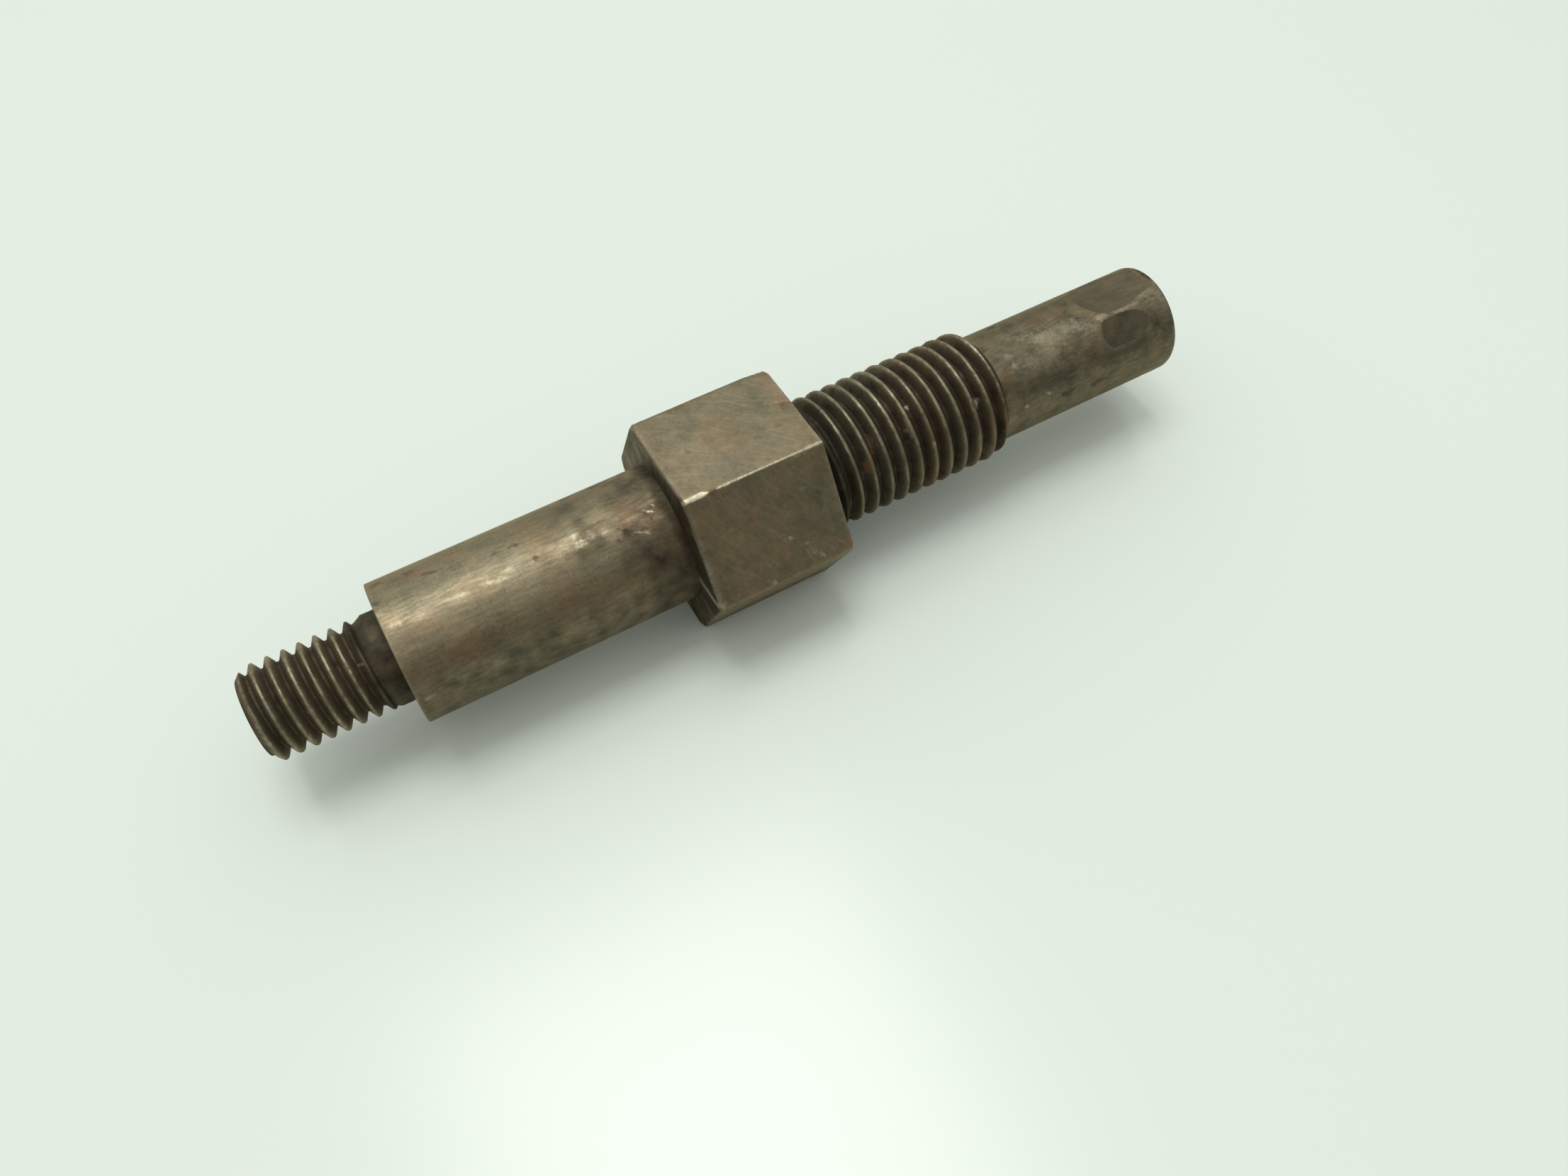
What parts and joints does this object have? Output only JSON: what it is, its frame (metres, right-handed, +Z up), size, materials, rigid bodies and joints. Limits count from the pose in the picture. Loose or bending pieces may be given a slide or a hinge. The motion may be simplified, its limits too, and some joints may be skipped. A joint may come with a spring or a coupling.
{
  "type": "threaded spindle with hexagon head",
  "caption": "Worn steel spindle turned in one piece: a screwed stub, a plain journal, a hexagon head, a screwed nose and a plain shank with two ground hollows.",
  "frame": {"origin": "on the turning axis, at the shoulder where the journal meets the hexagon head", "axes": "+X runs along the turning axis towards the plain shank, +Z points up from the head's lower flat and +Y completes a right-handed frame"},
  "size_m": [0.085, 0.0194, 0.0168],
  "materials": {
    "worn_steel": "turned and ground steel, tarnished grey brown, with scratches and small rust spots"
  },
  "bodies": {
    "root": {"threaded_spindle": "worn_steel"}
  },
  "joints": []
}
